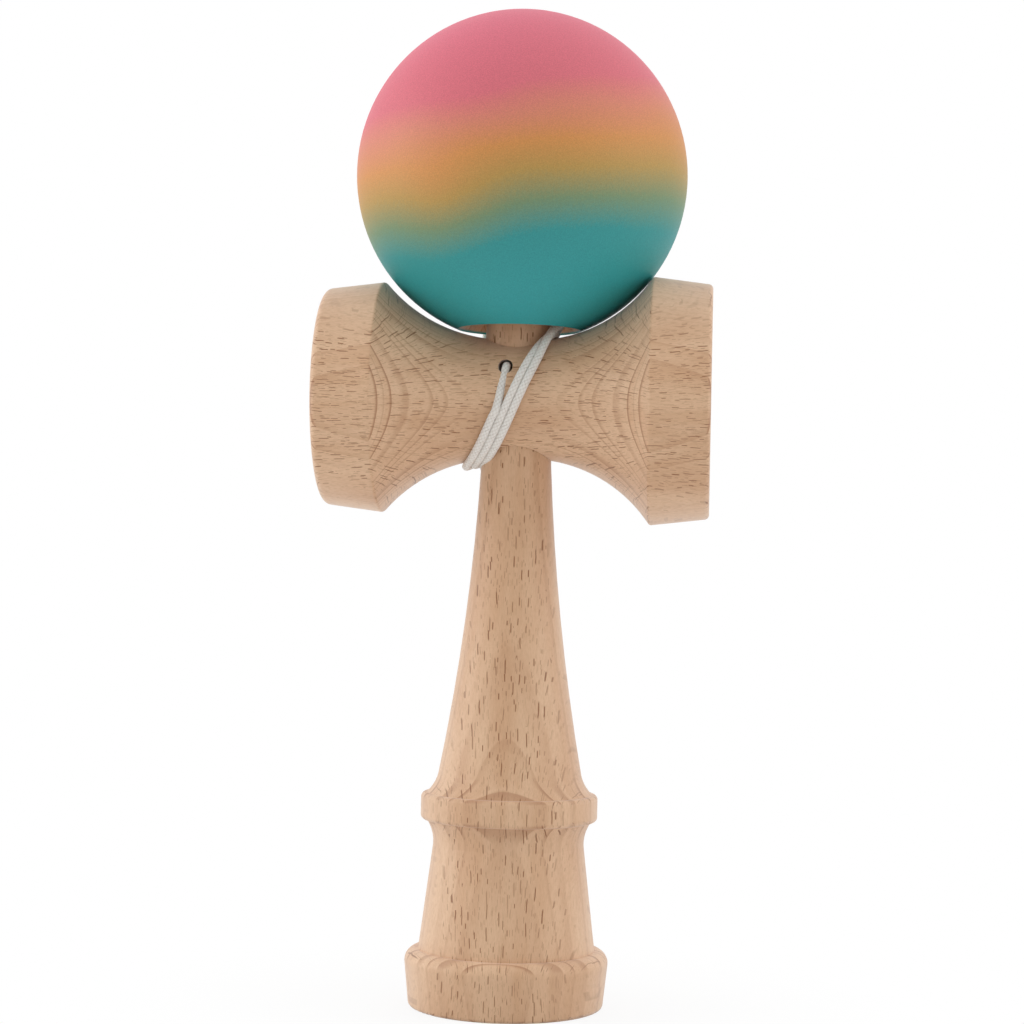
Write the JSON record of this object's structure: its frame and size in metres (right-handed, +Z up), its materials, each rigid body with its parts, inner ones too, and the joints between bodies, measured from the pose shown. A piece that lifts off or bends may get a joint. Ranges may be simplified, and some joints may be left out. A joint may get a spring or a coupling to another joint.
{
  "type": "kendama",
  "caption": "Wooden skill toy: a turned handle with spike and base cup, a cross piece with a big and a small cup, and a painted ball on a string that lifts off the spike and spins.",
  "frame": {"origin": "on the axis of the ken, in the plane of the base cup's rim", "axes": "+Z up the ken towards the spike, +X along the sarado towards the big cup, -Y towards the front with the string hole"},
  "size_m": [0.07, 0.0609, 0.1815],
  "materials": {
    "ken_beech": "sanded bare beech, grain along the handle",
    "sarado_beech": "sanded bare beech, grain along the cross piece",
    "tama_paint": "matt rubbery paint that fades from pink through orange to teal",
    "string": "fine white braid",
    "bead_wood": "smooth turned wood"
  },
  "bodies": {
    "ken": {"ken": "ken_beech", "sarado": "sarado_beech", "string_knot": "string", "string_winding": "string"},
    "string_end": {"string_bead": "bead_wood", "bead_knot": "string", "string_lead": "string"},
    "tama": {"tama": "tama_paint"}
  },
  "joints": [
    {"name": "tama_lift", "type": "slide", "parent": "ken", "child": "string_end", "axis": [0, 0, 1], "range_m": [0, 0.045], "deforming": ["string_lead"]},
    {"name": "tama_spin", "type": "hinge", "parent": "string_end", "child": "tama", "pos_m": [0, 0, 0.1499], "axis": [0, 0, 1], "continuous": true}
  ]
}
